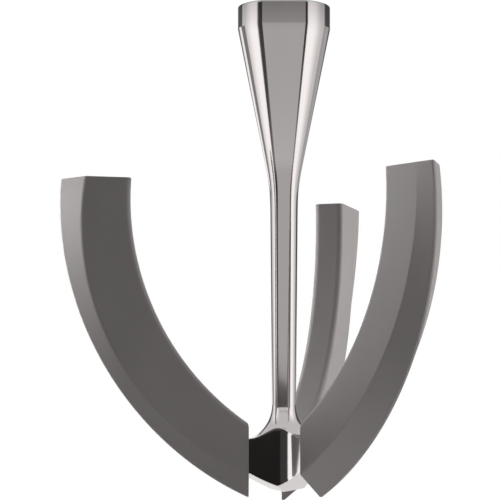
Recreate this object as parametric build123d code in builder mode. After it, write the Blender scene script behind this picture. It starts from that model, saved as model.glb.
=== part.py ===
"""Stand mixer flex edge beater: a polished casting with three overmoulded silicone blades.

Millimetres.  +Z is up, the origin is on the beater's axis in the plane of the collar's rim, where the
mixer's drive shaft enters.  The beater hangs below it.  X runs across the front and Y to the back.
Each blade lies on a radial plane: u is measured out from the axis and v across the blade.
The casting is one piece of metal, held here as two solids that meet on a plane below the cone.
"""

import os
from math import asin, cos, degrees, radians, sin, sqrt

from build123d import *

os.makedirs("parts", exist_ok=True)

# Stem: a round collar, cone and shaft with three flats along them
COLLAR_RADIUS = 15.35
COLLAR_FLAT = 13.5
COLLAR_HEIGHT = 7.7
RIM_ROUND = 0.6
CONE_HEIGHT = 53.2
CONE_BLEND = 30.0
SHAFT_TOP_RADIUS = 4.6
SHAFT_TOP_FLAT = 4.1
SHAFT_LOW_RADIUS = 3.93
SHAFT_LOW_FLAT = 3.65
FLATS = 3
FLAT_AZIMUTH = 270.0
FLAT_LEAD = 1.0
FLAT_RUN_OUT = 6.0

# Drive socket in the collar
SOCKET_BORE = 12.8
SOCKET_DEPTH = 30.0
SOCKET_WALL = 2.6
COLLAR_WALL = 2.2
RECESS_DEPTH = 6.5
PIN_GROOVE_WIDTH = 4.4
PIN_GROOVE_SINK = 2.0
PIN_GROOVE_DEPTH = 14.0
PIN_TURN = 40.0

# Hub
HUB_DROP = 4.4
HUB_VALLEY = 7.9
FLARE_RADIUS = 12.0
FLARE_SINK = 0.5
FLARE_SWING_DEG = 86.0
HUB_EDGE_ROUND = 0.4
ARM_AZIMUTH = 192.9

# Blades
BLADE_TOP = -59.4
BLADE_START = 12.8
BLADE_THICKNESS = 10.0
BLADE_CORNER = 1.2
INNER_ARC = 87.5
INNER_CENTRE_U = -35.4
INNER_CENTRE_Z = -66.0
SLAB_WIDTH = 14.8
FRONT_CREASE_STEP = 0.9
FRONT_CREASE_U = -19.9
FRONT_CREASE_Z = -73.9
TIP_STEP = 17.5
TIP_CENTRE_U = -30.9
TIP_CENTRE_Z = -68.0
TIP_WIDTH = 1.0
TIP_SHY = 0.15
TIP_SWING = 1.25
BLADE_STATIONS = 10
BLADE_FALL_DEG = 90.0
BLADE_END_ROUND = 0.4

# Arms inside the blades
ARM_THICKNESS = 6.6
ARM_INSET = 4.0
ARM_WIDTH = 9.2
ARM_END_COVER = 5.0
ARM_END_ROUND = 2.5
MOULD_CLEARANCE = 0.05

# Places that follow from the sizes above
CONE_FOOT = -COLLAR_HEIGHT - CONE_HEIGHT
HEAD_END = CONE_FOOT - 0.15 * CONE_BLEND
ARM_STEP = 120.0
FRONT_CREASE_ARC = INNER_ARC + FRONT_CREASE_STEP
TIP_ARC = INNER_ARC + TIP_STEP
HUB_TOP = INNER_CENTRE_Z - sqrt(INNER_ARC ** 2 - (BLADE_START - INNER_CENTRE_U) ** 2) - HUB_DROP
ARM_INNER_ARC = INNER_ARC + ARM_INSET
ARM_OUTER_ARC = ARM_INNER_ARC + ARM_WIDTH
ARM_END = BLADE_TOP - ARM_END_COVER
FLARE_LIMIT = BLADE_START - 2 * MOULD_CLEARANCE
FLARE_START = HUB_TOP + FLARE_RADIUS - FLARE_SINK
FLAT_FOOT = FLARE_START + FLAT_LEAD


def shaft_radius(z: float) -> float:
    """Radius of the straight shaft at a height below the cone."""
    share = (CONE_FOOT - z) / (CONE_FOOT - FLARE_START)
    return SHAFT_TOP_RADIUS + (SHAFT_LOW_RADIUS - SHAFT_TOP_RADIUS) * share


def flatted_disc(radius: float, flat: float) -> Sketch:
    """Disc with the stem's flats, which lie at a distance from the axis."""
    with BuildSketch() as disc:
        Circle(radius)
        RegularPolygon(flat, FLATS, major_radius=False, rotation=FLAT_AZIMUTH + 180, mode=Mode.INTERSECT)
    return disc.sketch


def flat_cut() -> Part:
    """What a flat on +X takes off the stem, with a run-out into the flare at its foot."""
    outside = COLLAR_RADIUS + 1
    low = FLAT_FOOT - FLAT_RUN_OUT
    with BuildPart() as cutter:
        with BuildSketch(Plane.XZ) as side:
            with BuildLine():
                Polyline(
                    (COLLAR_FLAT, 1),
                    (COLLAR_FLAT, -COLLAR_HEIGHT),
                    (SHAFT_TOP_FLAT, CONE_FOOT),
                    (SHAFT_LOW_FLAT, FLAT_FOOT),
                )
                RadiusArc((SHAFT_LOW_FLAT, FLAT_FOOT), (SHAFT_LOW_FLAT + FLAT_RUN_OUT, low), -FLAT_RUN_OUT)
                Polyline((SHAFT_LOW_FLAT + FLAT_RUN_OUT, low), (outside, low), (outside, 1), (COLLAR_FLAT, 1))
            make_face()
            foot = side.vertices().filter_by(lambda corner: abs(corner.Z - CONE_FOOT) < 0.01)
            fillet(foot, CONE_BLEND)
        extrude(amount=COLLAR_RADIUS, both=True)
    return cutter.part


def arc_reach(angle: float, centre_u: float, centre_z: float, radius: float) -> float:
    """Distance from the blade's pivot to an arc, along a section line that falls at the angle."""
    pivot_u = BLADE_START - centre_u
    pivot_z = BLADE_TOP - centre_z
    along = pivot_u * cos(angle) - pivot_z * sin(angle)
    return -along + sqrt(along ** 2 + radius ** 2 - pivot_u ** 2 - pivot_z ** 2)


def arc_height(u: float, radius: float) -> float:
    """Height of the lower side of an arc about the blade's inner centre."""
    return INNER_CENTRE_Z - sqrt(radius ** 2 - (u - INNER_CENTRE_U) ** 2)


def arm_plan(grow: float) -> Sketch:
    """Outline from above of one arm on +X with its third of the hub, hollowed between the arms."""
    half = ARM_THICKNESS / 2 + grow
    valley = HUB_VALLEY + grow
    side = radians(ARM_STEP / 2)
    hollow = (valley * sin(side) - half) / (1 - sin(side))
    root = (valley + hollow) * cos(side)
    centre = (valley + hollow) * sin(side)
    valley_point = (valley * cos(side), valley * sin(side))
    turn = radians(45 + ARM_STEP / 4)
    middle_point = (root - hollow * cos(turn), centre - hollow * sin(turn))
    reach = INNER_CENTRE_U + ARM_OUTER_ARC + 1
    with BuildSketch() as plan:
        with BuildLine():
            Line((0, 0), valley_point)
            ThreePointArc(valley_point, middle_point, (root, half))
            Polyline((root, half), (reach, half), (reach, 0))
            mirror(about=Plane.XZ)
        make_face()
    return plan.sketch


def arm_block(grow: float) -> Part:
    """One arm on the +X radial plane with its third of the hub, grown on every side for the mould."""
    inner = ARM_INNER_ARC - grow
    outer = ARM_OUTER_ARC + grow
    top = HUB_TOP + grow
    end = ARM_END + grow
    shoulder = INNER_CENTRE_U + sqrt(inner ** 2 - (top - INNER_CENTRE_Z) ** 2)
    inner_end = INNER_CENTRE_U + sqrt(inner ** 2 - (end - INNER_CENTRE_Z) ** 2)
    outer_end = INNER_CENTRE_U + sqrt(outer ** 2 - (end - INNER_CENTRE_Z) ** 2)
    inner_mid = INNER_CENTRE_U + inner * cos(radians(30))
    outer_mid = INNER_CENTRE_U + outer * cos(radians(35))
    foot = arc_height(0, outer)
    with BuildPart() as arm:
        with BuildSketch(Plane.XY.offset(end)):
            add(arm_plan(grow))
        extrude(amount=foot - end - 1)
        with BuildSketch(Plane.XZ) as side:
            with BuildLine():
                Line((0, top), (shoulder, top))
                ThreePointArc((shoulder, top), (inner_mid, arc_height(inner_mid, inner)), (inner_end, end))
                Line((inner_end, end), (outer_end, end))
                ThreePointArc((outer_end, end), (outer_mid, arc_height(outer_mid, outer)), (0, foot))
                Line((0, foot), (0, top))
            make_face()
            tips = side.vertices().filter_by(lambda corner: abs(corner.Z - end) < 0.01)
            fillet(tips, ARM_END_ROUND + grow)
        extrude(amount=outer_end, both=True, mode=Mode.INTERSECT)
    return arm.part


def blade_section(fall: float) -> Sketch:
    """Section of a blade on the plane that falls by an angle from the blade's top to its lower end.

    The slab is the same all along.  The lip's tip swings from the clockwise face to the other one.
    """
    angle = radians(fall)
    half = BLADE_THICKNESS / 2
    inner = arc_reach(angle, INNER_CENTRE_U, INNER_CENTRE_Z, INNER_ARC)
    back_crease = arc_reach(angle, INNER_CENTRE_U, INNER_CENTRE_Z, INNER_ARC + SLAB_WIDTH)
    front_crease = arc_reach(angle, FRONT_CREASE_U, FRONT_CREASE_Z, FRONT_CREASE_ARC)
    tip = arc_reach(angle, TIP_CENTRE_U, TIP_CENTRE_Z, TIP_ARC)
    swing = half - TIP_SHY - TIP_WIDTH / 2
    across = -swing + 2 * swing * (fall / BLADE_FALL_DEG) ** TIP_SWING
    outline = [
        (inner, -half),
        (back_crease, -half),
        (tip, across - TIP_WIDTH / 2),
        (tip, across + TIP_WIDTH / 2),
        (front_crease, half),
        (inner, half),
    ]
    plane = Plane(
        origin=(BLADE_START, 0, BLADE_TOP),
        x_dir=(cos(angle), 0, -sin(angle)),
        z_dir=(sin(angle), 0, cos(angle)),
    )
    with BuildSketch(plane) as section:
        with BuildLine():
            Polyline(outline, close=True)
        make_face()
        fillet(section.vertices().sort_by(Axis.X)[:2], BLADE_CORNER)
    return section.sketch


# What the three flats take off the stem
with BuildPart() as flat_cuts:
    for turn in range(FLATS):
        add(flat_cut(), rotation=(0, 0, FLAT_AZIMUTH + 360 / FLATS * turn))

# Shaft and the flare that carries it into the arms, kept inside the hub's outline
with BuildPart() as shaft_flare:
    with BuildSketch(Plane.XZ):
        with BuildLine():
            Polyline(
                (0, HEAD_END),
                (shaft_radius(HEAD_END), HEAD_END),
                (SHAFT_LOW_RADIUS, FLARE_START),
            )
            centre = (SHAFT_LOW_RADIUS + FLARE_RADIUS, FLARE_START)
            sweep_arc = CenterArc(centre, FLARE_RADIUS, 180, FLARE_SWING_DEG)
            Polyline(sweep_arc @ 1, (0, (sweep_arc @ 1).Y), (0, HEAD_END))
        make_face()
    revolve(axis=Axis.Z)
    with BuildSketch(Plane.XY.offset(HEAD_END)):
        for turn in range(3):
            add(arm_plan(0.0), rotation=ARM_AZIMUTH + ARM_STEP * turn)
        Circle(FLARE_LIMIT, mode=Mode.INTERSECT)
    extrude(amount=HUB_TOP - HEAD_END - 1, mode=Mode.INTERSECT)
    add(flat_cuts.part, mode=Mode.SUBTRACT)

# The casting's drive head: collar, cone and the blend at the cone's foot
with BuildPart() as drive_head:
    with BuildSketch(Plane.XZ) as profile:
        with BuildLine():
            Polyline(
                (0, 0),
                (COLLAR_RADIUS, 0),
                (COLLAR_RADIUS, -COLLAR_HEIGHT),
                (SHAFT_TOP_RADIUS, CONE_FOOT),
                (shaft_radius(HEAD_END), HEAD_END),
                (0, HEAD_END),
                close=True,
            )
        make_face()
        fillet(profile.vertices().filter_by(lambda corner: abs(corner.Z - CONE_FOOT) < 0.01), CONE_BLEND)
    revolve(axis=Axis.Z)
    add(flat_cuts.part, mode=Mode.SUBTRACT)
    fillet(drive_head.faces().sort_by(Axis.Z)[-1].edges(), RIM_ROUND)

    # Drive socket: a round bore in a boss, with one bayonet groove for the shaft's cross pin
    with BuildSketch():
        add(flatted_disc(COLLAR_RADIUS - COLLAR_WALL, COLLAR_FLAT - COLLAR_WALL))
        Circle(SOCKET_BORE / 2 + SOCKET_WALL, mode=Mode.SUBTRACT)
    extrude(amount=-RECESS_DEPTH, mode=Mode.SUBTRACT)
    with BuildSketch():
        Circle(SOCKET_BORE / 2)
    extrude(amount=-SOCKET_DEPTH, mode=Mode.SUBTRACT)
    groove_reach = SOCKET_BORE / 2 + PIN_GROOVE_SINK
    with BuildSketch():
        with Locations((0, groove_reach / 2)):
            Rectangle(PIN_GROOVE_WIDTH, groove_reach)
    extrude(amount=-PIN_GROOVE_DEPTH, mode=Mode.SUBTRACT)
    pin_half = degrees(asin(PIN_GROOVE_WIDTH / SOCKET_BORE))
    with BuildSketch(Plane.XY.offset(-PIN_GROOVE_DEPTH)):
        with BuildLine():
            turn_arc = CenterArc((0, 0), groove_reach, 90, PIN_TURN + pin_half)
            Line((0, 0), turn_arc @ 0)
            Line(turn_arc @ 1, (0, 0))
        make_face()
    extrude(amount=PIN_GROOVE_WIDTH, mode=Mode.SUBTRACT)
drive_head.part.label = "drive_head"
export_step(drive_head.part, "parts/drive_head.step")

# The rest of the casting: shaft, hub and arms, parted from the head below the blend
with BuildPart() as stem_hub:
    add(shaft_flare.part)
    for turn in range(3):
        add(arm_block(0.0), rotation=(0, 0, ARM_AZIMUTH + ARM_STEP * turn))

    # Rounded lower edges of the hub, from each hollow out to the arms
    hollow_foot = arc_height(HUB_VALLEY * cos(radians(ARM_STEP / 2)), ARM_OUTER_ARC)
    low_edges = stem_hub.edges().filter_by(
        lambda edge: abs(min((edge @ 0).Z, (edge @ 1).Z) - hollow_foot) < 0.05
        and edge.center().X ** 2 + edge.center().Y ** 2 > HUB_VALLEY ** 2
    )
    fillet(low_edges, HUB_EDGE_ROUND)
stem_hub.part.label = "stem_hub"
export_step(stem_hub.part, "parts/stem_hub.step")

# One silicone blade on the +X radial plane, moulded round the arm
with BuildPart() as blade_form:
    loft([blade_section(BLADE_FALL_DEG * step / (BLADE_STATIONS - 1)) for step in range(BLADE_STATIONS)])
    fillet(blade_form.faces().sort_by(Axis.Z)[-1].edges(), BLADE_END_ROUND)
    fillet(blade_form.faces().sort_by(Axis.X)[0].edges(), BLADE_END_ROUND)
    add(arm_block(MOULD_CLEARANCE), mode=Mode.SUBTRACT)

# The three blades in their places round the hub
with BuildPart() as flex_blade_left:
    add(blade_form.part, rotation=(0, 0, ARM_AZIMUTH))
flex_blade_left.part.label = "flex_blade_left"
export_step(flex_blade_left.part, "parts/flex_blade_left.step")

with BuildPart() as flex_blade_right:
    add(blade_form.part, rotation=(0, 0, ARM_AZIMUTH + ARM_STEP))
flex_blade_right.part.label = "flex_blade_right"
export_step(flex_blade_right.part, "parts/flex_blade_right.step")

with BuildPart() as flex_blade_rear:
    add(blade_form.part, rotation=(0, 0, ARM_AZIMUTH + 2 * ARM_STEP))
flex_blade_rear.part.label = "flex_blade_rear"
export_step(flex_blade_rear.part, "parts/flex_blade_rear.step")
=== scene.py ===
"""Looks of a stand mixer's flex edge beater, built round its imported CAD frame.

Metres throughout.  The origin lies on the beater's axis in the plane of the collar's rim, +Z is up and
+Y points away from the camera.  A polished casting, whose round stem carries three turning flats, holds
three silicone blades.  Each blade lies on a radial plane: u runs out from the axis and v across the blade.
"""

import logging
from dataclasses import dataclass
from enum import Enum
from math import acos, asin, atan2, copysign, cos, hypot, pi, radians, sin, sqrt, tan

import bmesh
import bpy
from bmesh.types import BMesh, BMVert
from bpy.types import Material, Mesh, Node, NodeSocket, NodeTree, Object
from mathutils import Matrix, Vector


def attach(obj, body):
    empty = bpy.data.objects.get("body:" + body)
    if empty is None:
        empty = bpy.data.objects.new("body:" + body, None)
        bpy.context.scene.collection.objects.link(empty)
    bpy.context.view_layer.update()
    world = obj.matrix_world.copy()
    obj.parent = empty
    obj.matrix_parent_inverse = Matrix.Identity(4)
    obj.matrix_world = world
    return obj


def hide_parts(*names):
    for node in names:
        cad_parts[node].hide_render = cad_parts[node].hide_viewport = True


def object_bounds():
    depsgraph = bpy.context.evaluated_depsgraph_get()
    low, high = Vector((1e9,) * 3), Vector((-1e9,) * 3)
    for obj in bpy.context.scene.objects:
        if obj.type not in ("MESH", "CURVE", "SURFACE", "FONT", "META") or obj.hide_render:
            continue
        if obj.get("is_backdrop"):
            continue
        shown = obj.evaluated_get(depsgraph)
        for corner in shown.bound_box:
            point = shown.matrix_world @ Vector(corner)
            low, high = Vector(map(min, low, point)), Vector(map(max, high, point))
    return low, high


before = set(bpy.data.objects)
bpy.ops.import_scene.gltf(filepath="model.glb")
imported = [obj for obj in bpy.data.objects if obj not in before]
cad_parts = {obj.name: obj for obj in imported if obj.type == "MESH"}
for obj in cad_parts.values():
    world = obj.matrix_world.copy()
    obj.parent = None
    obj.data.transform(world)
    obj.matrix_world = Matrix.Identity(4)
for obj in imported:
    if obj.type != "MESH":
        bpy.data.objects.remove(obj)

Plan = tuple[float, float]
Point = tuple[float, float, float]
Colour = tuple[float, float, float]
Ring = list[BMVert]
Feeds = dict[str | int, object]

LOG = logging.getLogger("beater")
BODY = "root"
ARM_STEP = radians(120.0)
IMAGE_SIDE = 500.0
WHITE = (1.0, 1.0, 1.0, 1.0)
INWARD = (-1.0, 0.0)
UPWARD = (0.0, 1.0)
DOWNWARD = (0.0, -1.0)
LEAST_LENGTH = 1e-9


class Slot(Enum):
    """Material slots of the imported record."""

    METAL = "polished_metal"
    SILICONE = "grey_silicone"


class BladePlace(Enum):
    """Places of the blades round the hub, as steps from the first arm."""

    LEFT = 0
    RIGHT = 1
    REAR = 2


class Wiring:
    """Adds and links nodes in one node tree."""

    def __init__(self, tree: NodeTree) -> None:
        """Keeps the tree that the nodes go into."""
        self.tree = tree

    def feed(self, socket: NodeSocket, source: object) -> None:
        """Links a source socket to a socket, or sets a plain value on it."""
        if isinstance(source, NodeSocket):
            self.tree.links.new(source, socket)
        else:
            socket.default_value = source

    def feed_all(self, node: Node, feeds: Feeds) -> None:
        """Feeds several inputs of a node, by their names or places."""
        for key, source in feeds.items():
            self.feed(node.inputs[key], source)

    def add(self, kind: str, feeds: Feeds | None = None, **settings: object) -> Node:
        """Adds a node.

        Args:
            kind: Blender's name of the node type.
            feeds: sockets or plain values for the node's inputs, by their names or places.
            settings: properties to set on the node.

        Returns:
            The new node.
        """
        node = self.tree.nodes.new(kind)
        for name, value in settings.items():
            setattr(node, name, value)
        self.feed_all(node, feeds or {})
        return node

    def math(self, operation: str, *terms: object) -> NodeSocket:
        """Adds a Math node on sockets or numbers, and gives its result."""
        return self.add("ShaderNodeMath", dict(enumerate(terms)), operation=operation).outputs[0]

    def ramp(self, value: object, start: object, end: object, low: object, high: object,
             smooth: bool = False) -> NodeSocket:
        """Adds a clamped Map Range node.

        Args:
            value: the socket to map.
            start: value that maps to low.
            end: value that maps to high.
            low: result at and before start.
            high: result at and past end.
            smooth: eases both ends.

        Returns:
            The mapped value.
        """
        terms = dict(enumerate((value, start, end, low, high)))
        style = "SMOOTHSTEP" if smooth else "LINEAR"
        return self.add("ShaderNodeMapRange", terms, clamp=True, interpolation_type=style).outputs[0]

    def mix_values(self, share: object, first: object, second: object) -> NodeSocket:
        """Mixes two values, by the share of the second."""
        return self.add("ShaderNodeMix", {0: share, 2: first, 3: second}, data_type="FLOAT").outputs[0]

    def mix_shaders(self, share: object, first: object, second: object) -> NodeSocket:
        """Mixes two shaders, by the share of the second."""
        return self.add("ShaderNodeMixShader", {0: share, 1: first, 2: second}).outputs[0]

    def height(self) -> NodeSocket:
        """Gives the Z of the Object coordinates."""
        place = self.add("ShaderNodeTexCoord").outputs["Object"]
        return self.add("ShaderNodeSeparateXYZ", {0: place}).outputs["Z"]


def new_material(name: str) -> tuple[Material, Wiring, Node]:
    """Adds a material, and gives it with its wiring and its shader."""
    material = bpy.data.materials.new(name)
    material.use_nodes = True
    return material, Wiring(material.node_tree), material.node_tree.nodes["Principled BSDF"]


def fine_grain() -> NodeTree:
    """Builds the shared shader group of fine surface grain and slow tone.

    Returns:
        A group that turns a Vector into a Grain height and a Tone, both from 0 to 1.
    """
    group = bpy.data.node_groups.new("fine_grain", "ShaderNodeTree")
    group.interface.new_socket(name="Vector", in_out="INPUT", socket_type="NodeSocketVector")
    wiring = Wiring(group)
    details = {"Grain": 2.0, "Tone": 4.0}
    for name in details:
        group.interface.new_socket(name=f"{name} Scale", in_out="INPUT", socket_type="NodeSocketFloat")
        group.interface.new_socket(name=name, in_out="OUTPUT", socket_type="NodeSocketFloat")
    entry = wiring.add("NodeGroupInput").outputs
    results = {}
    for name, detail in details.items():
        feeds = {"Vector": entry["Vector"], "Scale": entry[f"{name} Scale"], "Detail": detail}
        results[name] = wiring.add("ShaderNodeTexNoise", feeds).outputs["Fac"]
    wiring.add("NodeGroupOutput", results)
    return group


@dataclass(frozen=True)
class Finish:
    """A procedural finish: two close tones, a roughness range, a fine relief, and an optional painted shade
    that darkens the colour towards the rim.
    """

    name: str
    dark: Colour
    light: Colour
    metallic: float
    smoothest: float
    roughest: float
    grain_scale: float
    tone_scale: float
    stretch: Point
    relief: float
    sheen: float = 0.0
    # Painted shade: the share of the colour left at the rim, and the depth below the rim over which the
    # colour darkens towards it.
    painted_rim_shade: float = 1.0
    painted_rim_shade_depth: float = 0.010
    tone_low: float = 0.3
    tone_high: float = 0.7

    def material(self, grain: NodeTree) -> Material:
        """Builds the finish's material.

        Args:
            grain: the shared grain group.

        Returns:
            The material.
        """
        material, wiring, shader = new_material(self.name)
        place = wiring.add("ShaderNodeTexCoord").outputs["Object"]
        mapping = wiring.add("ShaderNodeMapping", {"Vector": place, "Scale": self.stretch})
        feeds = {
            "Vector": mapping.outputs["Vector"],
            "Grain Scale": self.grain_scale,
            "Tone Scale": self.tone_scale,
        }
        surface = wiring.add("ShaderNodeGroup", feeds, node_tree=grain).outputs
        tones = wiring.add("ShaderNodeMix", {0: surface["Tone"]}, data_type="RGBA")
        sockets = [socket for socket in tones.inputs if socket.type == "RGBA"]
        for socket, colour in zip(sockets, (self.dark, self.light)):
            wiring.feed(socket, (*colour, 1.0))
        mixed = next(socket for socket in tones.outputs if socket.type == "RGBA")
        # Painted shade: the colour falls linearly from full strength at the shade's depth to the rim share
        # at the rim. It stands in for the collar's darker reflection.
        if self.painted_rim_shade < 1.0:
            shade = wiring.ramp(wiring.height(), -self.painted_rim_shade_depth, 0.0, 1.0, self.painted_rim_shade)
            feeds = {0: mixed, "Scale": shade}
            mixed = wiring.add("ShaderNodeVectorMath", feeds, operation="SCALE").outputs[0]
        feeds = {"Strength": 1.0, "Distance": self.relief, "Height": surface["Grain"]}
        bump = wiring.add("ShaderNodeBump", feeds)
        rough = wiring.ramp(surface["Tone"], self.tone_low, self.tone_high, self.smoothest, self.roughest)
        wiring.feed_all(shader, {
            "Base Color": mixed,
            "Metallic": self.metallic,
            "Roughness": rough,
            "Sheen Weight": self.sheen,
            "Normal": bump.outputs["Normal"],
        })
        return material


POLISHED_METAL = Finish(
    name="polished_casting",
    dark=(0.705, 0.660, 0.652),
    light=(0.765, 0.725, 0.716),
    metallic=1.0,
    smoothest=0.07,
    roughest=0.11,
    grain_scale=900.0,
    tone_scale=70.0,
    stretch=(1.0, 1.0, 0.2),
    relief=0.0000010,
    # Painted shade on the collar: the colour darkens to this share at the rim.
    painted_rim_shade=0.62,
)

GREY_SILICONE = Finish(
    name="grey_silicone",
    dark=(0.205, 0.190, 0.186),
    light=(0.246, 0.229, 0.224),
    metallic=0.0,
    smoothest=0.50,
    roughest=0.62,
    grain_scale=2600.0,
    tone_scale=55.0,
    stretch=(1.0, 1.0, 1.0),
    relief=0.000012,
    sheen=0.05,
)


def polar(radius: float, azimuth: float, z: float) -> Point:
    """Gives a point at a radius and azimuth about the axis."""
    return radius * cos(azimuth), radius * sin(azimuth), z


def loft(shape: BMesh, rows: list[list[Point]]) -> list[Ring]:
    """Adds a closed ring for each row of points, and quads between neighbouring rings.

    Args:
        shape: the shape that gets them.
        rows: the rings' points, all of one count.

    Returns:
        The rings.
    """
    rings = [[shape.verts.new(point) for point in row] for row in rows]
    for first, second in zip(rings, rings[1:]):
        count = len(first)
        for place in range(count):
            after = (place + 1) % count
            shape.faces.new((first[place], first[after], second[after], second[place]))
    return rings


def directions(corners: list[Plan]) -> list[Vector]:
    """Gives the unit direction from each corner of a closed outline to the next."""
    after = corners[1:] + corners[:1]
    return [(Vector(end) - Vector(start)).normalized() for start, end in zip(corners, after)]


def corner_arc(corner: Plan, arrive: Plan, leave: Plan, radius: float, steps: int) -> list[Plan]:
    """Rounds a corner between two directions.

    Args:
        corner: the sharp corner.
        arrive: unit direction into the corner.
        leave: unit direction out of it.
        radius: radius of the round.
        steps: segments of the round.

    Returns:
        Points from the first tangent point to the last.
    """
    facing = arrive[0] * leave[0] + arrive[1] * leave[1]
    turn = acos(max(-1.0, min(1.0, facing)))
    back = radius * tan(turn / 2)
    across = (leave[0] - facing * arrive[0], leave[1] - facing * arrive[1])
    length = hypot(*across) or 1.0
    side = (across[0] / length, across[1] / length)
    start = (corner[0] - back * arrive[0], corner[1] - back * arrive[1])
    points = []
    for step in range(steps + 1):
        swing = turn * step / steps
        ahead = radius * sin(swing)
        aside = radius * (1 - cos(swing))
        points.append((
            start[0] + ahead * arrive[0] + aside * side[0],
            start[1] + ahead * arrive[1] + aside * side[1],
        ))
    return points


def finish_mesh(shape: BMesh, name: str, crease: float | None) -> Mesh:
    """Turns a built shape into a mesh with outward faces and smooth shading.

    Args:
        shape: the shape, which is freed.
        name: name of the mesh.
        crease: angle past which an edge is kept sharp, or None for none.

    Returns:
        The mesh.
    """
    bmesh.ops.recalc_face_normals(shape, faces=shape.faces)
    for face in shape.faces:
        face.smooth = True
    if crease is not None:
        for edge in shape.edges:
            if len(edge.link_faces) == 2 and edge.calc_face_angle() > crease:
                edge.smooth = False
    mesh = bpy.data.meshes.new(name)
    shape.to_mesh(mesh)
    shape.free()
    return mesh


def place_piece(name: str, mesh: Mesh, material: Material, slot: Slot,
                nodes: tuple[str, ...]) -> Object:
    """Puts a finished mesh into the scene as a piece of the beater.

    Args:
        name: name of the piece.
        mesh: its mesh, in its place.
        material: its finish.
        slot: the record's slot of that finish; not used.
        nodes: CAD nodes that the piece stands for.

    Returns:
        The piece.
    """
    mesh.materials.clear()
    mesh.materials.append(material)
    piece = bpy.data.objects.new(name, mesh)
    bpy.context.scene.collection.objects.link(piece)
    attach(piece, BODY)
    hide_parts(*nodes)
    LOG.info("%s: %d faces, stands for %s", name, len(mesh.polygons), ", ".join(nodes))
    return piece


@dataclass
class BladeArcs:
    """Arcs on the radial plane that shape the blades and the arms, and the hub's height."""

    top: float = -0.0594
    start: float = 0.0128
    inner_arc: float = 0.0875
    inner_u: float = -0.0354
    inner_z: float = -0.0660
    slab_width: float = 0.0148
    crease_arc: float = 0.0884
    crease_u: float = -0.0199
    crease_z: float = -0.0739
    tip_arc: float = 0.1050
    tip_u: float = -0.0309
    tip_z: float = -0.0680
    hub_drop: float = 0.0050
    arm_outer_arc: float = 0.1015

    @property
    def hub_top(self) -> float:
        """Height of the arms' upper face at the hub."""
        return self.inner_z - sqrt(self.inner_arc ** 2 - (self.start - self.inner_u) ** 2) - self.hub_drop

    def pivot(self, fall: float, lift: float) -> Plan:
        """Place of a section's pivot, moved off the section's plane by a lift."""
        return self.start + lift * sin(fall), self.top + lift * cos(fall)

    def reach(self, pivot: Plan, fall: float, centre: Plan, radius: float) -> float:
        """Distance from a section's pivot to an arc, along a line that falls by an angle."""
        pivot_u = pivot[0] - centre[0]
        pivot_z = pivot[1] - centre[1]
        along = pivot_u * cos(fall) - pivot_z * sin(fall)
        return -along + sqrt(along ** 2 + radius ** 2 - pivot_u ** 2 - pivot_z ** 2)

    def arm_foot(self, u: float) -> float:
        """Height of the arms' lower face at a distance from the axis along the arm."""
        return self.inner_z - sqrt(self.arm_outer_arc ** 2 - (u - self.inner_u) ** 2)

    def arm_foot_slope(self, u: float) -> float:
        """Rise of the arms' lower face for a step outwards."""
        out = u - self.inner_u
        return out / sqrt(self.arm_outer_arc ** 2 - out ** 2)


TREE_SIZES = (
    "collar_radius", "collar_flat", "collar_height", "rim_round", "cone_depth", "cone_blend",
    "shaft_top_radius", "shaft_top_flat", "shaft_low_radius", "shaft_low_flat", "edge_blend",
    "least_corner", "corner_half", "flat_azimuth", "sector", "twist", "twist_depth", "flare_depth", "crease",
    "flats", "flat_steps", "corner_steps", "round_steps", "rim_rings", "collar_rings", "lower_rings",
)


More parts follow.
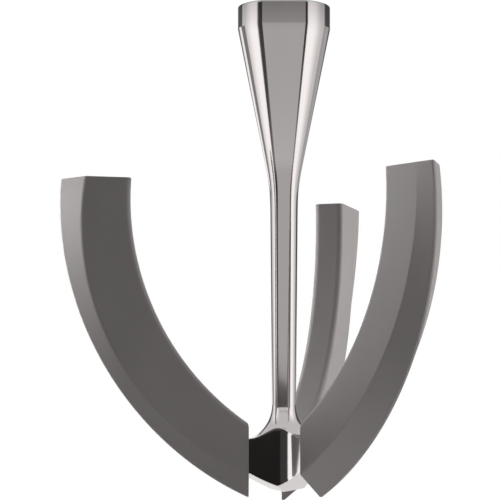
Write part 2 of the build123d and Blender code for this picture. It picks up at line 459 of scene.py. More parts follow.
@dataclass
class FlattedStem:
    """Round collar, cone and shaft with three flats along them, made by Geometry Nodes."""

    arcs: BladeArcs
    flats: int = 3
    flat_azimuth: float = radians(270.0)
    collar_radius: float = 0.01535
    collar_flat: float = 0.01350
    collar_height: float = 0.0077
    rim_round: float = 0.0006
    cone_height: float = 0.0532
    cone_blend: float = 0.0018
    shaft_top_radius: float = 0.00460
    shaft_top_flat: float = 0.00410
    shaft_low_radius: float = 0.00393
    shaft_low_flat: float = 0.00365
    twist: float = radians(9.5)
    edge_blend: float = 0.022
    flare_radius: float = 0.0120
    flare_sink: float = 0.0005
    flat_drop: float = 0.0011
    flat_run_out: float = 0.0012
    least_corner: float = radians(21.0)
    corner_half: float = radians(4.0)
    flat_steps: int = 8
    corner_steps: int = 14
    round_steps: int = 12
    rim_rings: int = 12
    collar_rings: int = 10
    lower_rings: int = 170
    crease: float = radians(8.6)
    seam_weld: float = 0.000001

    @property
    def half_steps(self) -> int:
        """Columns from the middle of a flat to the middle of the round beside it."""
        return self.flat_steps + self.corner_steps + self.round_steps

    @property
    def columns(self) -> int:
        """Columns round the whole section."""
        return 2 * self.half_steps * self.flats

    @property
    def sector(self) -> float:
        """Angle from one flat to the next."""
        return 2 * pi / self.flats

    @property
    def flare_start(self) -> float:
        """Height at which the shaft begins to flare, where the tree's part ends."""
        return self.arcs.hub_top + self.flare_radius - self.flare_sink

    @property
    def flare_depth(self) -> float:
        """Depth of the flare's start below the rim."""
        return -self.flare_start

    @property
    def twist_depth(self) -> float:
        """Depth below the rim at which the flats have made their whole turn."""
        return -self.arcs.hub_top

    @property
    def cone_depth(self) -> float:
        """Depth of the cone's foot below the rim."""
        return self.collar_height + self.cone_height

    def turn(self, z: float) -> float:
        """Turn of the flats about the axis at a height."""
        share = (-z - self.cone_depth) / (self.twist_depth - self.cone_depth)
        return -self.twist * min(max(share, 0.0), 1.0)

    def run_out(self, z: float) -> float:
        """Distance of the flats from the axis at a height on the flare."""
        fall = max(self.flare_start - self.flat_drop - z, 0.0)
        if fall >= self.flat_run_out:
            return self.collar_radius
        return self.shaft_low_flat + self.flat_run_out - sqrt(self.flat_run_out ** 2 - fall ** 2)

    def column_angle(self, step: int, corner: float) -> float:
        """Angle of a column from its flat's middle, with columns crowded about the flat's edge."""
        on_flat = min(step / self.flat_steps, 1.0)
        on_corner = min(max((step - self.flat_steps) / self.corner_steps, 0.0), 1.0)
        on_round = max((step - self.flat_steps - self.corner_steps) / self.round_steps, 0.0)
        rest = self.sector / 2 - corner - self.corner_half
        return on_flat * (corner - self.corner_half) + on_corner * 2 * self.corner_half + on_round * rest

    def section(self, radius: float, flat: float, turn: float) -> list[Plan]:
        """Gives the points of a disc with softened flats, one for each column.

        Args:
            radius: radius of the disc.
            flat: distance of the flats from the axis.
            turn: turn of the section about the axis.

        Returns:
            Points in plan.
        """
        # The flats' edges are softened as the tree's smooth minimum softens them
        blend = radius * self.edge_blend
        corner = max(acos(min(flat / radius, 1.0)), self.least_corner)
        points = []
        for column in range(self.columns):
            facet, place = divmod(column, 2 * self.half_steps)
            step = place - self.half_steps
            away = self.column_angle(abs(step), corner)
            straight = flat / cos(away)
            overlap = max(blend - abs(radius - straight), 0.0) / blend
            reach = min(radius, straight) - overlap ** 3 * blend / 6
            azimuth = self.flat_azimuth + turn + self.sector * facet + copysign(away, step)
            points.append((reach * cos(azimuth), reach * sin(azimuth)))
        return points

    def sizes(self) -> dict[str, float]:
        """Named sizes of the tree's inputs."""
        return {name.replace("_", " ").title(): float(getattr(self, name)) for name in TREE_SIZES}

    def tree(self) -> tuple[NodeTree, dict[str, str]]:
        """Builds the Geometry Nodes tree of the stem's outer face.

        Returns:
            The tree, and the identifier of each named input.
        """
        tree = bpy.data.node_groups.new("flatted_stem", "GeometryNodeTree")
        wiring = Wiring(tree)
        kinds = dict.fromkeys(self.sizes(), "NodeSocketFloat")
        kinds["Finish"] = "NodeSocketMaterial"
        keys = {}
        for name, kind in kinds.items():
            keys[name] = tree.interface.new_socket(name=name, in_out="INPUT", socket_type=kind).identifier
        tree.interface.new_socket(name="Geometry", in_out="OUTPUT", socket_type="NodeSocketGeometry")
        entry = wiring.add("NodeGroupInput").outputs
        realize = wiring.add("GeometryNodeRealizeInstances", {0: self.shell(wiring, entry)})
        feeds = {"Geometry": realize.outputs[0], "Material": entry["Finish"]}
        dress = wiring.add("GeometryNodeSetMaterial", feeds)
        wiring.add("NodeGroupOutput", {0: dress.outputs[0]})
        return tree, keys

    def shell(self, wiring: Wiring, entry: bpy.types.bpy_prop_collection) -> NodeSocket:
        """Wires a grid whose rows and columns are moved onto the stem.

        Args:
            wiring: the tree being built.
            entry: the tree's named inputs.

        Returns:
            The shell's geometry.
        """
        math = wiring.math
        corner_end = math("ADD", entry["Flat Steps"], entry["Corner Steps"])
        half_steps = math("ADD", corner_end, entry["Round Steps"])
        side_steps = math("MULTIPLY", half_steps, 2.0)
        columns = math("MULTIPLY", side_steps, entry["Flats"])
        upper = math("ADD", entry["Rim Rings"], entry["Collar Rings"])
        rings = math("ADD", upper, entry["Lower Rings"])
        grid = wiring.add("GeometryNodeMeshGrid", {
            "Size X": columns,
            "Size Y": rings,
            "Vertices X": math("ADD", columns, 1.0),
            "Vertices Y": math("ADD", rings, 1.0),
        })
        split = wiring.add("ShaderNodeSeparateXYZ", {0: wiring.add("GeometryNodeInputPosition").outputs[0]})
        column = math("ROUND", math("MULTIPLY_ADD", columns, 0.5, split.outputs["X"]))
        ring = math("ROUND", math("MULTIPLY_ADD", rings, 0.5, split.outputs["Y"]))

        # Depth of the row below the rim, and the rim's round
        rim = entry["Rim Round"]
        roll = wiring.ramp(ring, 0.0, entry["Rim Rings"], 0.0, pi / 2)
        inset = math("MULTIPLY", rim, math("SUBTRACT", 1.0, math("SINE", roll)))
        rim_fall = math("MULTIPLY", rim, math("SUBTRACT", 1.0, math("COSINE", roll)))
        collar_span = math("SUBTRACT", entry["Collar Height"], rim)
        collar_fall = wiring.ramp(ring, entry["Rim Rings"], upper, 0.0, collar_span)
        lower_span = math("SUBTRACT", entry["Flare Depth"], entry["Collar Height"])
        lower_fall = wiring.ramp(ring, upper, rings, 0.0, lower_span)
        depth = math("ADD", math("ADD", rim_fall, collar_fall), lower_fall)

        # Radius and flats: a straight cone and a straight shaft with a smooth blend between them
        cone_height = math("SUBTRACT", entry["Cone Depth"], entry["Collar Height"])
        cone_share = math("DIVIDE", math("SUBTRACT", depth, entry["Collar Height"]), cone_height)
        cone_share = math("MAXIMUM", cone_share, 0.0)
        below_cone = math("SUBTRACT", depth, entry["Cone Depth"])
        sizes = []
        shaft_span = math("SUBTRACT", entry["Flare Depth"], entry["Cone Depth"])
        for kind in ("Radius", "Flat"):
            collar = entry[f"Collar {kind}"]
            shaft_top = entry[f"Shaft Top {kind}"]
            cone = math("MULTIPLY_ADD", math("SUBTRACT", shaft_top, collar), cone_share, collar)
            shaft_share = math("DIVIDE", below_cone, shaft_span)
            shaft_loss = math("SUBTRACT", entry[f"Shaft Low {kind}"], shaft_top)
            shaft = math("MULTIPLY_ADD", shaft_loss, shaft_share, shaft_top)
            sizes.append(math("SUBTRACT", math("SMOOTH_MAX", cone, shaft, entry["Cone Blend"]), inset))
        radius, flat = sizes
        twist_end = math("MULTIPLY", entry["Twist"], -1.0)
        turn = wiring.ramp(depth, entry["Cone Depth"], entry["Twist Depth"], 0.0, twist_end)

        # Angle of the column from its flat's middle, with columns crowded about the flat's edge
        facet = math("FLOOR", math("DIVIDE", column, side_steps))
        step = math("SUBTRACT", math("SUBTRACT", column, math("MULTIPLY", facet, side_steps)), half_steps)
        steps_out = math("ABSOLUTE", step)
        corner = math("ARCCOSINE", math("MINIMUM", math("DIVIDE", flat, radius), 1.0))
        corner = math("MAXIMUM", corner, entry["Least Corner"])
        half_corner = entry["Corner Half"]
        rest = math("SUBTRACT", math("MULTIPLY", entry["Sector"], 0.5), math("ADD", corner, half_corner))
        flat_span = math("SUBTRACT", corner, half_corner)
        on_flat = wiring.ramp(steps_out, 0.0, entry["Flat Steps"], 0.0, flat_span)
        corner_span = math("MULTIPLY", half_corner, 2.0)
        on_corner = wiring.ramp(steps_out, entry["Flat Steps"], corner_end, 0.0, corner_span)
        on_round = wiring.ramp(steps_out, corner_end, half_steps, 0.0, rest)
        away = math("ADD", math("ADD", on_flat, on_corner), on_round)
        straight = math("DIVIDE", flat, math("COSINE", away))
        reach = math("SMOOTH_MIN", radius, straight, math("MULTIPLY", radius, entry["Edge Blend"]))
        azimuth = math("MULTIPLY_ADD", facet, entry["Sector"], entry["Flat Azimuth"])
        azimuth = math("ADD", math("ADD", azimuth, turn), math("MULTIPLY", away, math("SIGN", step)))
        spot = wiring.add("ShaderNodeCombineXYZ", {
            "X": math("MULTIPLY", reach, math("COSINE", azimuth)),
            "Y": math("MULTIPLY", reach, math("SINE", azimuth)),
            "Z": math("MULTIPLY", depth, -1.0),
        })

        # Grid moved onto the stem, welded along its seam, with sharp edges past the crease
        feeds = {"Geometry": grid.outputs["Mesh"], "Position": spot.outputs[0]}
        move = wiring.add("GeometryNodeSetPosition", feeds)
        feeds = {"Geometry": move.outputs[0], "Distance": self.seam_weld}
        weld = wiring.add("GeometryNodeMergeByDistance", feeds)
        smooth = wiring.add("GeometryNodeSetShadeSmooth", {"Geometry": weld.outputs[0]}, domain="FACE")
        angle = wiring.add("GeometryNodeInputMeshEdgeAngle").outputs[0]
        sharp = math("GREATER_THAN", angle, entry["Crease"])
        feeds = {"Geometry": smooth.outputs[0], "Selection": sharp, "Shade Smooth": False}
        return wiring.add("GeometryNodeSetShadeSmooth", feeds, domain="EDGE").outputs[0]

    def mesh(self, material: Material) -> Mesh:
        """Runs the tree and keeps its result as a plain mesh.

        Args:
            material: the stem's finish.

        Returns:
            The stem's outer face, open at the rim and at the foot.
        """
        tree, keys = self.tree()
        carrier = bpy.data.objects.new("stem_carrier", bpy.data.meshes.new("stem_carrier"))
        bpy.context.scene.collection.objects.link(carrier)
        modifier = carrier.modifiers.new("flatted_stem", "NODES")
        modifier.node_group = tree
        for name, value in self.sizes().items():
            modifier[keys[name]] = value
        modifier[keys["Finish"]] = material
        depsgraph = bpy.context.evaluated_depsgraph_get()
        mesh = bpy.data.meshes.new_from_object(carrier.evaluated_get(depsgraph))
        carrier.modifiers.remove(modifier)
        bpy.data.objects.remove(carrier)
        return mesh


@dataclass
class DriveSocket:
    """Recess, boss, bore and bayonet groove inside the collar."""

    stem: FlattedStem
    wall: float = 0.0022
    recess_depth: float = 0.0065
    boss_radius: float = 0.0090
    bore_radius: float = 0.0064
    bore_depth: float = 0.0300
    groove_reach: float = 0.0084
    groove_width: float = 0.0044
    groove_depth: float = 0.0140
    groove_turn: float = radians(40.0)
    groove_azimuth: float = radians(90.0)
    edge_round: float = 0.0003
    foot_round: float = 0.0005
    arc_steps: int = 4

    @property
    def first_azimuth(self) -> float:
        """Azimuth of the first column."""
        return self.stem.flat_azimuth - self.stem.sector / 2

    @property
    def step(self) -> float:
        """Angle between the columns of a round ring."""
        return 2 * pi / self.stem.columns

    def flatted(self, offset: float, z: float) -> list[Point]:
        """Ring that follows the collar's outline at an offset."""
        plan = self.stem.section(self.stem.collar_radius + offset, self.stem.collar_flat + offset, 0.0)
        return [(x, y, z) for x, y in plan]

    def circle(self, radius: float, z: float) -> list[Point]:
        """Ring of the boss or of the plain bore."""
        azimuths = [self.first_azimuth + self.step * place for place in range(self.stem.columns)]
        return [polar(radius, azimuth, z) for azimuth in azimuths]

    def grooved(self, grow: float, z: float, leg: bool = False) -> list[Point]:
        """Ring of the bore where the groove is cut into it.

        Args:
            grow: how far the whole ring stands back, for the rounded mouth.
            z: height of the ring.
            leg: True where the groove's turned leg is cut as well.

        Returns:
            The ring's points.
        """
        mouth = asin(self.groove_width / 2 / self.bore_radius)
        back = asin(self.groove_width / 2 / self.groove_reach)
        inside = int(mouth / self.step)
        leg_end = int((self.groove_turn + mouth) / self.step) if leg else inside
        middle = round((self.groove_azimuth - self.first_azimuth) % (2 * pi) / self.step)
        points = []
        for place in range(self.stem.columns):
            offset = place - middle
            azimuth = self.first_azimuth + self.step * place
            radius = self.bore_radius
            if -inside <= offset <= leg_end:
                radius = self.groove_reach
                if offset <= 0 or not leg:
                    azimuth = self.groove_azimuth + back * offset / inside
            points.append(polar(radius + grow, azimuth, z))
        return points

    def build(self, shape: BMesh) -> None:
        """Adds the socket to the casting's shape, from the rim's inner edge down."""
        floor = -self.recess_depth
        boss = self.boss_radius
        rows = [self.flatted(-self.stem.rim_round, 0.0)]
        for row, corner, arrive, leave, radius in (
            (self.flatted, (-self.wall, 0.0), INWARD, DOWNWARD, self.edge_round),
            (self.flatted, (-self.wall, floor), DOWNWARD, INWARD, self.foot_round),
            (self.circle, (boss, floor), INWARD, UPWARD, self.foot_round),
            (self.circle, (boss, 0.0), UPWARD, INWARD, self.edge_round),
            (self.grooved, (0.0, 0.0), INWARD, DOWNWARD, self.edge_round / 2),
        ):
            rows += [row(reach, z) for reach, z in corner_arc(corner, arrive, leave, radius, self.arc_steps)]
        leg_top = -self.groove_depth + self.groove_width
        rows.append(self.grooved(0.0, leg_top))
        rows.append(self.grooved(0.0, leg_top, True))
        rows.append(self.grooved(0.0, -self.groove_depth, True))
        rows.append(self.circle(self.bore_radius, -self.groove_depth))
        end = (self.bore_radius, -self.bore_depth)
        foot = corner_arc(end, DOWNWARD, INWARD, self.foot_round, self.arc_steps)
        rows += [self.circle(radius, z) for radius, z in foot]
        shape.faces.new(loft(shape, rows)[-1])


@dataclass
class ArmHub:
    """Flare under the shaft, the hub's hollowed sides, and its domed underside."""

    stem: FlattedStem
    arcs: BladeArcs
    valley: float = 0.0070
    arm_half: float = 0.0045
    stub_end: float = 0.0131
    azimuth: float = radians(192.9)
    flare_marks: int = 120
    edge_round: float = 0.00035
    low_edge_round: float = 0.0004
    flare_rings: int = 90
    arc_steps: int = 5
    under_rings: int = 12
    wall_shares: tuple[float, ...] = (0.06, 0.35, 0.65, 0.94)
    least_sine: float = 1e-6
    least_run: float = 0.05
    flat_clear: float = 1.05
    overrun: float = 1.4

    def off_arm(self, azimuth: float) -> float:
        """Angle between an azimuth and the nearest arm."""
        apart = (azimuth - self.azimuth) % ARM_STEP
        return min(apart, ARM_STEP - apart)

    def outline(self, azimuth: float) -> float:
        """Gives the reach of the hub's outline from the axis along an azimuth."""
        side = ARM_STEP / 2
        hollow = (self.valley * sin(side) - self.arm_half) / (1 - sin(side))
        centre = self.valley + hollow
        apart = self.off_arm(azimuth)
        end = self.stub_end / cos(apart)
        if apart < atan2(self.arm_half, centre * cos(side)):
            return min(end, self.arm_half / max(sin(apart), self.least_sine))
        return min(end, centre * cos(side - apart) - sqrt(hollow ** 2 - (centre * sin(side - apart)) ** 2))

    def flare_rows(self) -> list[list[Point]]:
        """Gives sections down the flare to the arms' top."""
        stem = self.stem
        rows = []
        level = asin((stem.flare_radius - stem.flare_sink) / stem.flare_radius)
        for mark in range(self.flare_marks + 1):
            swing = level * mark / self.flare_marks
            radius = stem.shaft_low_radius + stem.flare_radius * (1 - cos(swing))
            z = stem.flare_start - stem.flare_radius * sin(swing)
            plan = stem.section(radius, min(stem.run_out(z), radius * self.flat_clear), stem.turn(z))
            rows.append([(x, y, z) for x, y in plan])
        return rows

    def top_paths(self) -> list[list[Vector]]:
        """Follows each column down the flare and along the arms' top to the hub's outline.

        Returns:
            One evenly spaced path for each column, which ends at the rounded edge's first tangent.
        """
        sections = self.flare_rows()
        paths = []
        for column in range(self.stem.columns):
            trail = [Vector(section[column]) for section in sections]
            last = trail[-1]
            trail.append(Vector((last.x * self.overrun, last.y * self.overrun, last.z)))
            kept = [trail[0]]
            for before, after in zip(trail, trail[1:]):
                heading = after - before
                slope = atan2(-heading.z, heading.xy.length)
                back = self.edge_round * tan((pi / 2 - slope) / 2) * cos(slope)
                room = self.outline(atan2(after.y, after.x)) - back
                if after.xy.length >= room:
                    share = (room - before.xy.length) / max(after.xy.length - before.xy.length, LEAST_LENGTH)
                    kept.append(before + heading * max(share, 0.0))
                    break
                kept.append(after)
            paths.append(self.evenly(kept))
        return paths

    def evenly(self, trail: list[Vector]) -> list[Vector]:
        """Spaces a path's points evenly along its length."""
        lengths = [0.0]
        for before, after in zip(trail, trail[1:]):
            lengths.append(lengths[-1] + (after - before).length)
        points = []
        place = 0
        for ring in range(self.flare_rings + 1):
            goal = lengths[-1] * ring / self.flare_rings
            while place < len(trail) - 2 and lengths[place + 1] < goal:
                place += 1
            span = max(lengths[place + 1] - lengths[place], LEAST_LENGTH)
            points.append(trail[place].lerp(trail[place + 1], (goal - lengths[place]) / span))
        return points

    def column(self, path: list[Vector]) -> list[Vector]:
        """Carries a column round the hub's edges, down its side and under it.

        Args:
            path: the column's path over the top.

        Returns:
            The whole column, which stops short of the axis.
        """
        last = path[-1]
        heading = last - path[-2]
        azimuth = atan2(last.y, last.x)
        edge = self.outline(azimuth)
        arrive = Vector((heading.xy.length, heading.z)).normalized()
        drop = (edge - last.xy.length) * arrive.y / max(arrive.x, self.least_run)
        corner = (edge, last.z + drop)
        profile = corner_arc(corner, tuple(arrive), DOWNWARD, self.edge_round, self.arc_steps)
        apart = cos(self.off_arm(azimuth))
        slope = self.arcs.arm_foot_slope(edge * apart) * apart
        inward = Vector((-1.0, -slope)).normalized()
        low_corner = (edge, self.arcs.arm_foot(edge * apart))
        low = corner_arc(low_corner, DOWNWARD, tuple(inward), self.low_edge_round, self.arc_steps)
        top_z = profile[-1][1]
        profile += [(edge, top_z + (low[0][1] - top_z) * share) for share in self.wall_shares]
        profile += low
        reach = low[-1][0]
        for ring in range(1, self.under_rings):
            radius = reach * (1 - ring / self.under_rings)
            profile.append((radius, self.arcs.arm_foot(radius * apart)))
        points = [Vector(polar(r, azimuth, z)) for r, z in profile]
        return path[:-1] + points

    def build(self, shape: BMesh) -> None:
        """Adds the hub to the casting's shape, from the shaft's foot down."""
        columns = [self.column(path) for path in self.top_paths()]
        last = loft(shape, list(zip(*columns)))[-1]
        pole = shape.verts.new((0.0, 0.0, self.arcs.arm_foot(0.0)))
        for place, vertex in enumerate(last):
            shape.faces.new((vertex, last[(place + 1) % len(last)], pole))


@dataclass
class Casting:
    """The polished casting: drive socket, flatted stem and hub in one closed mesh."""

    arcs: BladeArcs
    crease: float = radians(26.0)
    weld: float = 0.0000015

    def build(self, material: Material) -> Object:
        """Builds the casting.

        Args:
            material: its finish.

        Returns:
            The casting's piece.
        """
        stem = FlattedStem(self.arcs)
        shell = stem.mesh(material)
        shape = bmesh.new()
        shape.from_mesh(shell)
        bpy.data.meshes.remove(shell)
        DriveSocket(stem).build(shape)
        ArmHub(stem, self.arcs).build(shape)
        bmesh.ops.remove_doubles(shape, verts=shape.verts, dist=self.weld)
        mesh = finish_mesh(shape, "beater_casting", self.crease)
        return place_piece("beater_casting", mesh, material, Slot.METAL, ("drive_head", "stem_hub"))


@dataclass
class FlexBlade:
    """One silicone blade: a slab along an arc whose thin lip swings from face to face."""

    arcs: BladeArcs
    place: BladePlace
    azimuth: float
    thickness: float = 0.0100
    inner_round: float = 0.0019
    crease_round: float = 0.0014
    tip_round: float = 0.00022
    tip_width: float = 0.0010
    tip_shy: float = 0.00015
    tip_swing: float = 1.25
    tip_trim: float = 0.00022
    trim_power: float = 14.0
    end_round: float = 0.0004
    end_support: float = 0.00005
    support: float = 0.0004
    most_support: float = 0.3
    least_round: float = 0.00003
    fall: float = radians(90.0)
    first_fall: float = radians(1.2)
    stations: int = 110
    corner_steps: int = 6
    end_steps: int = 4

    def corners(self, fall: float, lift: float) -> list[Plan]:
        """Gives the section's six corners.

        Args:
            fall: angle by which the section falls from the blade's top.
            lift: how far the section is moved off its plane.

        Returns:
            Corners as reach from the pivot and place across the blade.
        """
        arcs = self.arcs
        half = self.thickness / 2
        pivot = arcs.pivot(fall, lift)
        inner_centre = (arcs.inner_u, arcs.inner_z)
        inner = arcs.reach(pivot, fall, inner_centre, arcs.inner_arc)
        back_crease = arcs.reach(pivot, fall, inner_centre, arcs.inner_arc + arcs.slab_width)
        front_crease = arcs.reach(pivot, fall, (arcs.crease_u, arcs.crease_z), arcs.crease_arc)
        tip = arcs.reach(pivot, fall, (arcs.tip_u, arcs.tip_z), arcs.tip_arc)
        tip -= self.tip_trim * (fall / self.fall) ** self.trim_power
        swing = half - self.tip_shy - self.tip_width / 2
        across = -swing + 2 * swing * (fall / self.fall) ** self.tip_swing
        return [
            (inner, -half),
            (back_crease, -half),
            (tip, across - self.tip_width / 2),
            (tip, across + self.tip_width / 2),
            (front_crease, half),
            (inner, half),
        ]

    @staticmethod
    def shrunk(corners: list[Plan], inset: float) -> list[Plan]:
        """Moves every side of an outline inwards."""
        ways = directions(corners)
        starts = [Vector(corner) + inset * Vector((-way.y, way.x)) for corner, way in zip(corners, ways)]
        moved = []
        for place, (other, other_way) in enumerate(zip(starts, ways)):
            spot = starts[place - 1]
            way = ways[place - 1]
            gap = other - spot
            share = (gap.x * other_way.y - gap.y * other_way.x) / (way.x * other_way.y - way.y * other_way.x)
            moved.append(tuple(spot + way * share))
        return moved

    def rounded(self, corners: list[Plan], inset: float) -> list[Plan]:
        """Rounds the section's corners, with a support point on each side of every round.

        Args:
            corners: the six corners.
            inset: how far the outline was moved inwards.

        Returns:
            The section's points.
        """
        half_radii = (self.inner_round, self.crease_round, self.tip_round)
        ways = directions(corners)
        arcs = []
        for place, radius in enumerate(half_radii + half_radii[::-1]):
            radius = max(radius - inset, self.least_round)
            arrive = tuple(ways[place - 1])
            arcs.append(corner_arc(corners[place], arrive, tuple(ways[place]), radius, self.corner_steps))
        points = []
        for arc, after in zip(arcs, arcs[1:] + arcs[:1]):
            points += arc
            start = Vector(arc[-1])
            end = Vector(after[0])
            share = min(self.support / (end - start).length, self.most_support)
            points.append(tuple(start.lerp(end, share)))
            points.append(tuple(start.lerp(end, 1 - share)))
        return points

    def row(self, fall: float, inset: float = 0.0, lift: float = 0.0) -> list[Point]:
        """Gives one section of the blade in its place.

        Args:
            fall: angle by which the section falls from the blade's top.
            inset: how far the outline is moved inwards.
            lift: how far the section is moved off its plane.

        Returns:
            The section's points.
        """
        corners = self.corners(fall, lift)
        if inset > 0:
            corners = self.shrunk(corners, inset)
        pivot_u, pivot_z = self.arcs.pivot(fall, lift)
        points = []
        for reach, across in self.rounded(corners, inset):
            u = pivot_u + reach * cos(fall)
            points.append((
                u * cos(self.azimuth) - across * sin(self.azimuth),
                u * sin(self.azimuth) + across * cos(self.azimuth),
                pivot_z - reach * sin(fall),
            ))
        return points

    def end_rows(self, fall: float, inward: float) -> list[list[Point]]:
        """Gives the rows of a rounded end, from its flat to the first full section.

        Args:
            fall: angle of the end's plane.
            inward: 1 or -1, the way off the plane that leads into the blade.

        Returns:
            The rows, flat first.
        """
        rows = [self.row(fall, self.end_round + self.end_support)]
        for step in range(self.end_steps + 1):
            roll = pi / 2 * step / self.end_steps
            inset = self.end_round * (1 - sin(roll))
            rows.append(self.row(fall, inset, inward * self.end_round * (1 - cos(roll))))
        return rows

    def build(self, material: Material) -> Object:
        """Builds the blade.

        Args:
            material: its finish.

        Returns:
            The blade's piece.
        """
        shape = bmesh.new()
        rows = self.end_rows(0.0, -1.0)
        span = self.fall - 2 * self.first_fall
        for station in range(self.stations + 1):
            rows.append(self.row(self.first_fall + span * station / self.stations))
        rows += reversed(self.end_rows(self.fall, 1.0))
        rings = loft(shape, rows)
        shape.faces.new(rings[0])
        shape.faces.new(rings[-1])
        name = self.place.name.lower()
        mesh = finish_mesh(shape, f"blade_{name}", None)
        return place_piece(f"blade_{name}", mesh, material, Slot.SILICONE, (f"flex_blade_{name}",))


@dataclass(frozen=True)
class Card:
    """A light or dark card of the surround: middle, half sizes and soft edge in degrees, and its level."""

    azimuth: float
    elevation: float
    half_width: float
    half_height: float
    edge: float
    level: float


# Each card covers the ones before it
CARDS = (
    Card(270, 90, 200, 55, 18, 0.68),
    Card(270, -90, 200, 62, 22, 0.85),
    Card(58, 17, 22, 11.5, 2, 0.09),
    Card(120, 17, 22, 11.5, 2, 0.13),
    Card(58, -3, 22, 6, 2, 0.45),
    Card(116, -3, 24, 6, 2, 1.15),
    Card(90, 0, 7, 50, 10, 1.00),
    Card(0, 0, 29, 35, 3, 0.70),
    Card(342, -5, 6, 30, 34, 1.25),
    Card(171, 0, 28, 35, 3, 0.75),
    Card(190, -5, 6, 30, 34, 1.25),
    Card(146, -3, 8, 6, 3, 0.24),
    Card(308, -7, 22, 20, 4, 0.05),
    Card(226, -7, 24, 20, 4, 0.05),
    Card(270, 1, 13, 14, 4, 0.49),
    Card(270, 12.5, 13, 3.5, 1.5, 0.36),
    Card(270, 21, 70, 1.5, 2.5, 1.10),
    Card(270, -28, 70, 3, 4, 1.20),
)


@dataclass(frozen=True)
class Lamp:
    """A soft lamp beside the beater, kept out of its reflections, with its angles in degrees."""

    name: str
    azimuth: float
    elevation: float
    distance: float
    side: float
    power: float
    spread: float = 60.0
    shift: Point = (0.0, 0.0, 0.0)

    def build(self, target: Vector) -> None:
        """Adds the lamp, turned to a point beside a target."""
        data = bpy.data.lights.new(self.name, "AREA")
        data.shape = "SQUARE"
        data.size = self.side
        data.energy = self.power
        data.spread = radians(self.spread)
        lamp = bpy.data.objects.new(self.name, data)
        rise = radians(self.elevation)
        offset = self.distance * Vector(polar(cos(rise), radians(self.azimuth), sin(rise)))
        lamp.location = target + Vector(self.shift) + offset
        lamp.rotation_euler = offset.to_track_quat("Z", "Y").to_euler()
        lamp.visible_camera = False
        lamp.visible_glossy = False
        bpy.context.scene.collection.objects.link(lamp)


LAMPS = (
    Lamp("lamp_right", azimuth=14, elevation=8, distance=0.36, side=0.2, power=0.26),
    Lamp("lamp_left", azimuth=157, elevation=8, distance=0.33, side=0.2, power=0.30),
    Lamp("lamp_low", azimuth=270, elevation=-58, distance=0.22, side=0.1, power=0.009),
    Lamp("lamp_lip", azimuth=188, elevation=10, distance=0.20, side=0.05, power=0.012, spread=26,
         shift=(-0.080, -0.012, 0.03)),
    Lamp("lamp_top", azimuth=75, elevation=76, distance=0.9, side=0.5, power=3.5, spread=180),
)


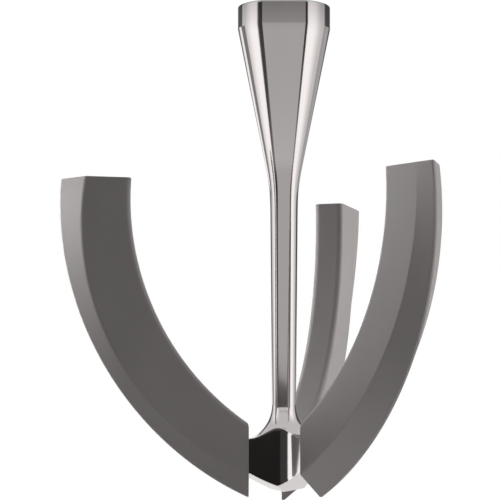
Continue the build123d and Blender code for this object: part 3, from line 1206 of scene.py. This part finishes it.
@dataclass
class Studio:
    """White surround with its cards, lamps, pale floor, dark panel and the camera."""

    surround: float = 0.35
    fill: float = 0.23
    floor_height: float = -0.30
    floor_radius: float = 3.0
    floor_segments: int = 96
    floor_roughness: float = 0.9
    fade_start: float = 0.5
    fade_end: float = 1.5
    floor_colour: Colour = (0.86, 0.86, 0.86)
    floor_glow: float = 0.85
    floor_lift: float = 0.50
    flag_reach: float = 0.20
    flag_top: float = -0.112
    flag_foot: float = -0.26
    flag_start: float = radians(228.0)
    flag_end: float = radians(304.0)
    flag_steps: int = 24
    flag_colour: Colour = (1.0, 0.93, 0.92)
    flag_low: float = 0.016
    flag_high: float = 0.12
    flag_fade_start: float = 0.007
    flag_fade_end: float = 0.014
    view_distance: float = 1.155
    view_pitch: float = radians(6.72)
    view_height: float = -0.08139
    axis_pixel: float = 284.0
    lens: float = 252.0
    sensor: float = 36.0
    clip_start: float = 0.05
    clip_end: float = 20.0

    def world(self) -> None:
        """Builds the surround: white to the camera, cards to reflections, an even fill to the rest."""
        world = bpy.data.worlds.new("studio_surround")
        world.use_nodes = True
        bpy.context.scene.world = world
        wiring = Wiring(world.node_tree)
        world.node_tree.nodes.clear()
        way = wiring.add("ShaderNodeTexCoord").outputs["Generated"]
        split = wiring.add("ShaderNodeSeparateXYZ", {0: way}).outputs
        azimuth = wiring.math("ARCTAN2", split["Y"], split["X"])
        elevation = wiring.math("ARCSINE", split["Z"])
        level: object = self.surround
        for card in CARDS:
            aside = wiring.math("WRAP", wiring.math("SUBTRACT", azimuth, radians(card.azimuth)), pi, -pi)
            above = wiring.math("SUBTRACT", elevation, radians(card.elevation))
            masks = []
            for offset, half in ((aside, card.half_width), (above, card.half_height)):
                away = wiring.math("ABSOLUTE", offset)
                masks.append(wiring.ramp(away, radians(half), radians(half + card.edge), 1.0, 0.0, True))
            level = wiring.mix_values(wiring.math("MULTIPLY", *masks), level, card.level)
        path = wiring.add("ShaderNodeLightPath").outputs
        strength = wiring.mix_values(path["Is Glossy Ray"], self.fill, level)
        cards = wiring.add("ShaderNodeBackground", {"Color": WHITE, "Strength": strength})
        white = wiring.add("ShaderNodeBackground", {"Color": WHITE})
        shown = wiring.mix_shaders(path["Is Camera Ray"], cards.outputs[0], white.outputs[0])
        wiring.add("ShaderNodeOutputWorld", {"Surface": shown})

    @staticmethod
    def stage_item(name: str, shape: BMesh, material: Material) -> Object:
        """Puts a shape into the scene as an object of the studio, and frees the shape."""
        mesh = bpy.data.meshes.new(name)
        shape.to_mesh(mesh)
        shape.free()
        mesh.materials.append(material)
        item = bpy.data.objects.new(name, mesh)
        bpy.context.scene.collection.objects.link(item)
        return item

    def floor_finish(self) -> Material:
        """Builds the floor's finish, which fades out far from the beater and from below."""
        material, wiring, shader = new_material("pale_floor")
        path = wiring.add("ShaderNodeLightPath").outputs
        wiring.feed_all(shader, {
            "Base Color": (*self.floor_colour, 1.0),
            "Roughness": self.floor_roughness,
            "Emission Color": WHITE,
            "Emission Strength": wiring.math("MULTIPLY", path["Is Camera Ray"], self.floor_lift),
        })
        glow = wiring.add("ShaderNodeEmission", {"Strength": self.floor_glow})
        shown = wiring.mix_shaders(path["Is Glossy Ray"], shader.outputs[0], glow.outputs[0])
        place = wiring.add("ShaderNodeTexCoord").outputs["Object"]
        away = wiring.add("ShaderNodeVectorMath", {0: place}, operation="LENGTH").outputs["Value"]
        fade = wiring.ramp(away, self.fade_start, self.fade_end, 0.0, 1.0, True)
        behind = wiring.add("ShaderNodeNewGeometry").outputs["Backfacing"]
        clear = wiring.add("ShaderNodeBsdfTransparent").outputs[0]
        result = wiring.mix_shaders(wiring.math("MAXIMUM", fade, behind), shown, clear)
        wiring.feed(material.node_tree.nodes["Material Output"].inputs["Surface"], result)
        return material

    def floor(self) -> None:
        """Adds the floor below the hanging beater."""
        shape = bmesh.new()
        bmesh.ops.create_circle(shape, cap_ends=True, segments=self.floor_segments, radius=self.floor_radius)
        floor = self.stage_item("studio_floor", shape, self.floor_finish())
        floor.location.z = self.floor_height
        floor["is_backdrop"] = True

    def flag_finish(self) -> Material:
        """Builds the dark panel's finish, which is lighter near the panel's top."""
        material, wiring, shader = new_material("dark_flag")
        start = self.flag_top - self.flag_fade_end
        end = self.flag_top - self.flag_fade_start
        glow = wiring.ramp(wiring.height(), start, end, self.flag_low, self.flag_high, True)
        wiring.feed_all(shader, {
            "Base Color": (0.0, 0.0, 0.0, 1.0),
            "Specular IOR Level": 0.0,
            "Emission Color": (*self.flag_colour, 1.0),
            "Emission Strength": glow,
        })
        return material

    def flag(self) -> None:
        """Adds a dark panel low in front of the beater, which only its reflections show."""
        shape = bmesh.new()
        rows = []
        for z in (self.flag_foot, self.flag_top):
            row = []
            for step in range(self.flag_steps + 1):
                azimuth = self.flag_start + (self.flag_end - self.flag_start) * step / self.flag_steps
                row.append(shape.verts.new(polar(self.flag_reach, azimuth, z)))
            rows.append(row)
        for step in range(self.flag_steps):
            shape.faces.new((rows[0][step], rows[0][step + 1], rows[1][step + 1], rows[1][step]))
        flag = self.stage_item("dark_flag", shape, self.flag_finish())
        flag.visible_camera = False
        flag.visible_diffuse = False
        flag.visible_shadow = False
        flag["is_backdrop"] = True

    def camera(self) -> None:
        """Adds the camera, a little below the beater and tilted up."""
        data = bpy.data.cameras.new("studio_camera")
        data.lens = self.lens
        data.sensor_width = self.sensor
        data.shift_x = (IMAGE_SIDE / 2 - self.axis_pixel) / IMAGE_SIDE
        data.clip_start = self.clip_start
        data.clip_end = self.clip_end
        camera = bpy.data.objects.new("studio_camera", data)
        back = self.view_distance * cos(self.view_pitch)
        fall = self.view_distance * sin(self.view_pitch)
        camera.location = (0.0, -back, self.view_height - fall)
        camera.rotation_euler = (pi / 2 + self.view_pitch, 0.0, 0.0)
        bpy.context.scene.collection.objects.link(camera)
        bpy.context.scene.camera = camera

    def build(self) -> None:
        """Builds the whole studio."""
        bpy.context.scene.view_settings.view_transform = "Standard"
        self.world()
        for lamp in LAMPS:
            lamp.build(Vector((0.0, 0.0, self.view_height)))
        self.floor()
        self.flag()
        self.camera()
        LOG.info("studio: surround, lamps, floor, dark panel and camera")


def write_sizes(cad_box: tuple[Vector, Vector]) -> None:
    """Gathers the CAD box and the visual model's box side by side, and keeps neither."""
    boxes = {"cad": cad_box, "visual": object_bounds()}
    {name: [list(corner) for corner in box] for name, box in boxes.items()}


def main() -> None:
    """Builds the beater and its studio in order."""
    logging.basicConfig(level=logging.INFO, format="%(name)s %(message)s")
    cad_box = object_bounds()
    grain = fine_grain()
    metal = POLISHED_METAL.material(grain)
    silicone = GREY_SILICONE.material(grain)
    arcs = BladeArcs()
    Casting(arcs).build(metal)
    for place in BladePlace:
        FlexBlade(arcs, place, ArmHub.azimuth + ARM_STEP * place.value).build(silicone)
    Studio().build()
    write_sizes(cad_box)


if __name__ == "__main__":
    main()
